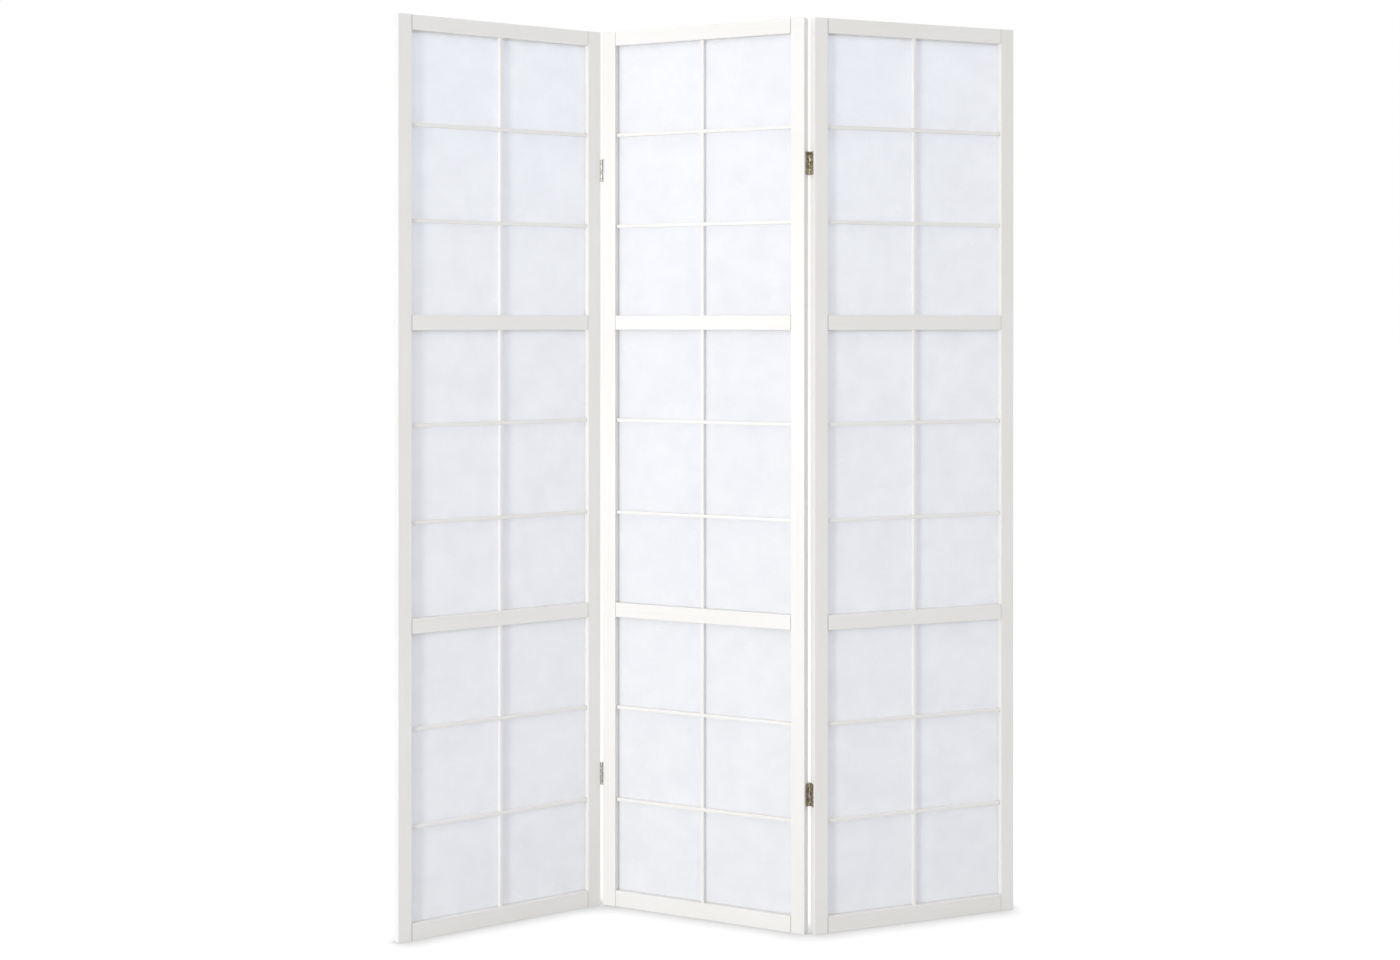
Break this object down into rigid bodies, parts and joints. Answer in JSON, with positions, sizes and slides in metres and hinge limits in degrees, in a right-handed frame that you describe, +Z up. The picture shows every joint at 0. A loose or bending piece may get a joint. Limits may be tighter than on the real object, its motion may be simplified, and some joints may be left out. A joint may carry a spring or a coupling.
{
  "type": "shoji folding screen",
  "caption": "Free-standing shoji screen of white-painted wood: lattice panels backed with translucent paper, hinged edge to edge so that they stand in a zig-zag and fold flat.",
  "frame": {"origin": "middle of the bounding box on the floor, with the screen standing folded as in the picture", "axes": "+X runs along the screen to the viewer's right, the front faces look towards -Y, +Z is up"},
  "size_m": [1.222, 0.249, 1.78],
  "materials": {
    "frame_paint": "softwood with satin white paint",
    "lattice_paint": "thin softwood bars with satin white paint",
    "bead_paint": "softwood strips with satin white paint",
    "dowel_wood": "bare beech",
    "paper": "laminated rice paper, matt and translucent",
    "hinge_metal": "antiqued brass plate, pressed sheet",
    "pin_metal": "antiqued brass rod",
    "screw_metal": "antiqued brass countersunk screws"
  },
  "bodies": {
    "middle_panel": {"left_fold_lower_hinge_middle_leaf": "hinge_metal", "left_fold_lower_hinge_pin": "pin_metal", "left_fold_upper_hinge_middle_leaf": "hinge_metal", "left_fold_upper_hinge_pin": "pin_metal", "middle_panel_bottom_rail": "frame_paint", "middle_panel_crossbars": "lattice_paint", "middle_panel_dowels": "dowel_wood", "middle_panel_hinge_screws": "screw_metal", "middle_panel_left_stile": "frame_paint", "middle_panel_lower_mid_rail": "frame_paint", "middle_panel_lower_paper": "paper", "middle_panel_lower_upright": "lattice_paint", "middle_panel_middle_paper": "paper", "middle_panel_middle_upright": "lattice_paint", "middle_panel_paper_beads": "bead_paint", "middle_panel_right_stile": "frame_paint", "middle_panel_top_rail": "frame_paint", "middle_panel_upper_mid_rail": "frame_paint", "middle_panel_upper_paper": "paper", "middle_panel_upper_upright": "lattice_paint", "right_fold_lower_hinge_middle_leaf": "hinge_metal", "right_fold_lower_hinge_pin": "pin_metal", "right_fold_upper_hinge_middle_leaf": "hinge_metal", "right_fold_upper_hinge_pin": "pin_metal"},
    "left_panel": {"left_fold_lower_hinge_side_leaf": "hinge_metal", "left_fold_upper_hinge_side_leaf": "hinge_metal", "left_panel_bottom_rail": "frame_paint", "left_panel_crossbars": "lattice_paint", "left_panel_dowels": "dowel_wood", "left_panel_hinge_screws": "screw_metal", "left_panel_left_stile": "frame_paint", "left_panel_lower_mid_rail": "frame_paint", "left_panel_lower_paper": "paper", "left_panel_lower_upright": "lattice_paint", "left_panel_middle_paper": "paper", "left_panel_middle_upright": "lattice_paint", "left_panel_paper_beads": "bead_paint", "left_panel_right_stile": "frame_paint", "left_panel_top_rail": "frame_paint", "left_panel_upper_mid_rail": "frame_paint", "left_panel_upper_paper": "paper", "left_panel_upper_upright": "lattice_paint"},
    "right_panel": {"right_fold_lower_hinge_side_leaf": "hinge_metal", "right_fold_upper_hinge_side_leaf": "hinge_metal", "right_panel_bottom_rail": "frame_paint", "right_panel_crossbars": "lattice_paint", "right_panel_dowels": "dowel_wood", "right_panel_hinge_screws": "screw_metal", "right_panel_left_stile": "frame_paint", "right_panel_lower_mid_rail": "frame_paint", "right_panel_lower_paper": "paper", "right_panel_lower_upright": "lattice_paint", "right_panel_middle_paper": "paper", "right_panel_middle_upright": "lattice_paint", "right_panel_paper_beads": "bead_paint", "right_panel_right_stile": "frame_paint", "right_panel_top_rail": "frame_paint", "right_panel_upper_mid_rail": "frame_paint", "right_panel_upper_paper": "paper", "right_panel_upper_upright": "lattice_paint"}
  },
  "joints": [
    {"name": "left_fold", "type": "hinge", "parent": "middle_panel", "child": "left_panel", "pos_m": [-0.22411, 0.10626, 0.89], "axis": [0, 0, 1], "range_deg": [-56.1, 123.9]},
    {"name": "right_fold", "type": "hinge", "parent": "middle_panel", "child": "right_panel", "pos_m": [0.18957, -0.05657, 0.89], "axis": [0, 0, 1], "range_deg": [-44.8, 135.2]}
  ]
}
